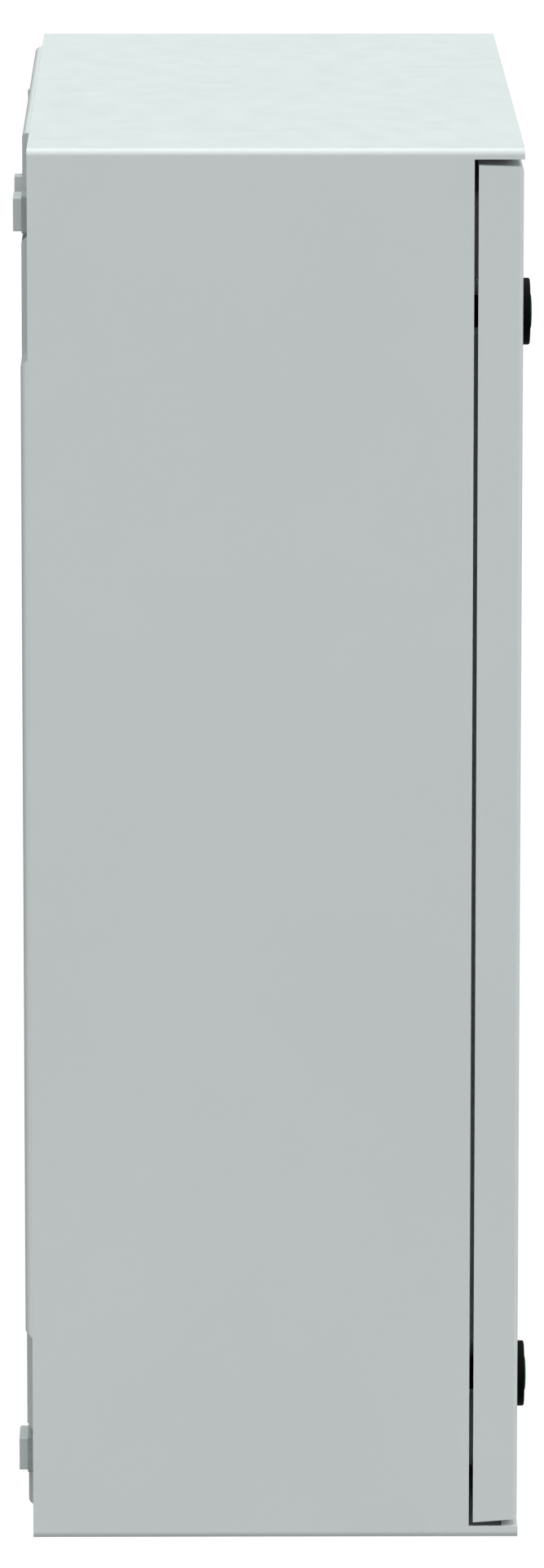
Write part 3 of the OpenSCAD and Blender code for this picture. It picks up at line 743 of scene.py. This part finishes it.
# ---------------------------------------------------------------------------
# stage: pale floor, soft studio light
# ---------------------------------------------------------------------------


SKY_MEAN, SKY_UP, SKY_FRONT, SKY_SIDE, SKY_REAR, SKY_TOP = 0.42, 0.80, 0.0, 0.52, 1.50, 1.90
SKY_TINT = (0.88, 1.0, 0.965)


def pale_floor():
    me = bpy.data.meshes.new("floor")
    s = 60
    me.from_pydata([(-s, -s, 0), (s, -s, 0), (s, s, 0), (-s, s, 0)], [], [(0, 1, 2, 3)])
    o = bpy.data.objects.new("floor", me)
    o.location = (0, 0, -1.3)
    scene.collection.objects.link(o)
    m = Nodes("pale_floor")
    m.put("Base Color", m.mix((0.27, 0.27, 0.27), (0.30, 0.30, 0.30), m.noise(3, 2.0)))
    m.put("Roughness", 0.9)
    m.put("Specular IOR Level", 0.1)
    path = m.add("ShaderNodeLightPath")
    glow = m.add("ShaderNodeEmission")
    glow.inputs["Strength"].default_value = 1.02
    both = m.add("ShaderNodeMixShader")
    m.link(path.outputs["Is Camera Ray"], both.inputs["Fac"])
    m.link(m.bsdf.outputs[0], both.inputs[1])
    m.link(glow.outputs[0], both.inputs[2])
    m.link(both.outputs[0], m.out.inputs["Surface"])
    me.materials.append(m.mat)
    return o


pale_floor()

world = bpy.data.worlds.new("studio")
scene.world = world
world.use_nodes = True
wt = world.node_tree
# a light tent, brightest overhead and on the left, dimmer below and behind, seen as plain white by the camera
tent = wt.nodes["Background"]
sky = wt.nodes.new("ShaderNodeTexCoord")
slope = wt.nodes.new("ShaderNodeVectorMath")
slope.operation = "DOT_PRODUCT"
slope.inputs[1].default_value = (-SKY_SIDE, -SKY_FRONT, SKY_UP)
wt.links.new(sky.outputs["Generated"], slope.inputs[0])
level = wt.nodes.new("ShaderNodeMath")
level.operation = "ADD"
level.inputs[1].default_value = SKY_MEAN
wt.links.new(slope.outputs["Value"], level.inputs[0])
sky_z = wt.nodes.new("ShaderNodeSeparateXYZ")
wt.links.new(sky.outputs["Generated"], sky_z.inputs[0])
behind = wt.nodes.new("ShaderNodeMath")
behind.operation = "MAXIMUM"
behind.inputs[1].default_value = 0.0
wt.links.new(sky_z.outputs["Y"], behind.inputs[0])
dim = wt.nodes.new("ShaderNodeMath")
dim.operation = "MULTIPLY_ADD"
dim.inputs[1].default_value = -SKY_REAR
wt.links.new(behind.outputs[0], dim.inputs[0])
wt.links.new(level.outputs[0], dim.inputs[2])
above = wt.nodes.new("ShaderNodeMath")
above.operation = "MAXIMUM"
above.inputs[1].default_value = 0.0
wt.links.new(sky_z.outputs["Z"], above.inputs[0])
overhead = wt.nodes.new("ShaderNodeMath")
overhead.operation = "POWER"
overhead.inputs[1].default_value = 4.0
wt.links.new(above.outputs[0], overhead.inputs[0])
softbox = wt.nodes.new("ShaderNodeMath")
softbox.operation = "MULTIPLY_ADD"
softbox.inputs[1].default_value = SKY_TOP
wt.links.new(overhead.outputs[0], softbox.inputs[0])
wt.links.new(dim.outputs[0], softbox.inputs[2])
floor_level = wt.nodes.new("ShaderNodeMath")
floor_level.operation = "MAXIMUM"
floor_level.inputs[1].default_value = 0.05
wt.links.new(softbox.outputs[0], floor_level.inputs[0])
wt.links.new(floor_level.outputs[0], tent.inputs["Strength"])
sky_tint = wt.nodes.new("ShaderNodeMapRange")
sky_tint.data_type = "FLOAT_VECTOR"
for i, v in ((7, (0.0, 0.0, 0.0)), (8, (1.0, 1.0, 1.0)), (9, (1.0, 1.0, 1.0)), (10, SKY_TINT)):
    sky_tint.inputs[i].default_value = v
wt.links.new(sky_z.outputs["Z"], sky_tint.inputs[6])
wt.links.new(sky_tint.outputs[1], tent.inputs["Color"])
wout = wt.nodes["World Output"]
lp = wt.nodes.new("ShaderNodeLightPath")
white = wt.nodes.new("ShaderNodeBackground")
white.inputs["Color"].default_value = (1, 1, 1, 1)
white.inputs["Strength"].default_value = 1.05
mx = wt.nodes.new("ShaderNodeMixShader")
wt.links.new(lp.outputs["Is Camera Ray"], mx.inputs["Fac"])
wt.links.new(tent.outputs[0], mx.inputs[1])
wt.links.new(white.outputs[0], mx.inputs[2])
wt.links.new(mx.outputs[0], wout.inputs["Surface"])


def soft_sun(name, toward, strength, angle, tint=(1, 1, 1)):
    """A very wide, soft light from one direction, as from a large diffuser."""
    d = bpy.data.lights.new(name, "SUN")
    d.energy = strength * math.pi
    d.color = tint
    d.angle = math.radians(angle)
    o = bpy.data.objects.new(name, d)
    o.rotation_mode = "QUATERNION"
    o.rotation_quaternion = Vector(toward).to_track_quat("Z", "Y")
    scene.collection.objects.link(o)
    return o


soft_sun("fill", (-0.98, 0.0, 0.19), 0.022, 5)

scene.view_settings.view_transform = "Standard"
scene.view_settings.look = "None"
